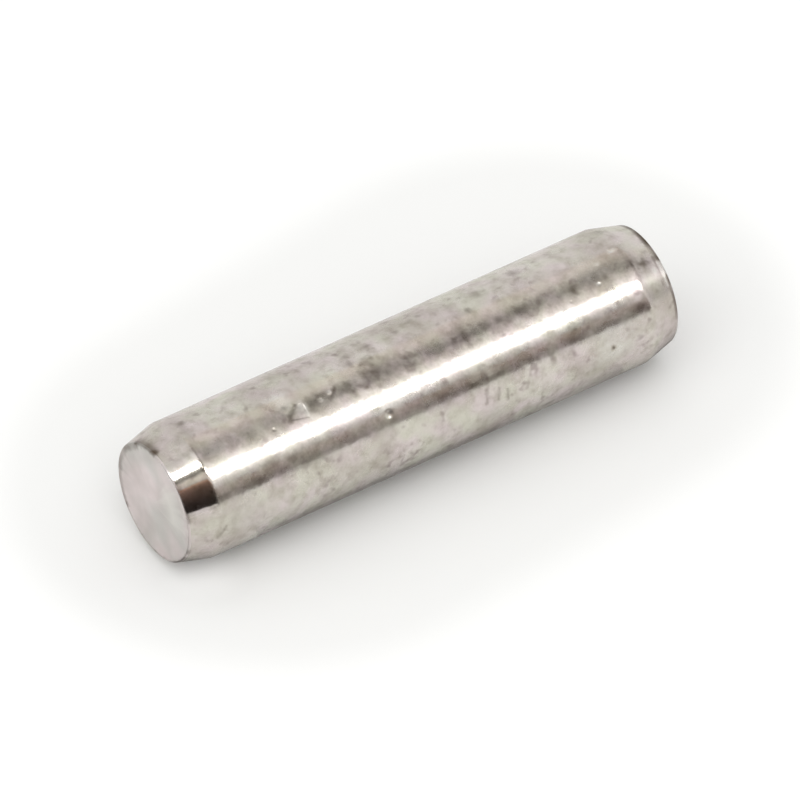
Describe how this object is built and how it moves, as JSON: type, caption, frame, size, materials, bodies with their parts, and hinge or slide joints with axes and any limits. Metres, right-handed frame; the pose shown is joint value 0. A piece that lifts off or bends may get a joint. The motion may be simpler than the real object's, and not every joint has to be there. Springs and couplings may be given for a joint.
{
  "type": "dowel pin",
  "caption": "Plain round steel dowel pin with a ground cylindrical body and a short tapered lead at each flat end, pressed or slid into holes to line parts up.",
  "frame": {"origin": "centre of the lower end face, which the pin stands on", "axes": "+Z along the pin's axis, from the lower end face to the upper one; the pin is round, so X and Y are alike"},
  "size_m": [0.006, 0.006, 0.024],
  "materials": {
    "ground_steel": "centreless ground and barrel finished, with light pitting and handling marks"
  },
  "bodies": {
    "root": {"dowel_pin": "ground_steel"}
  },
  "joints": []
}
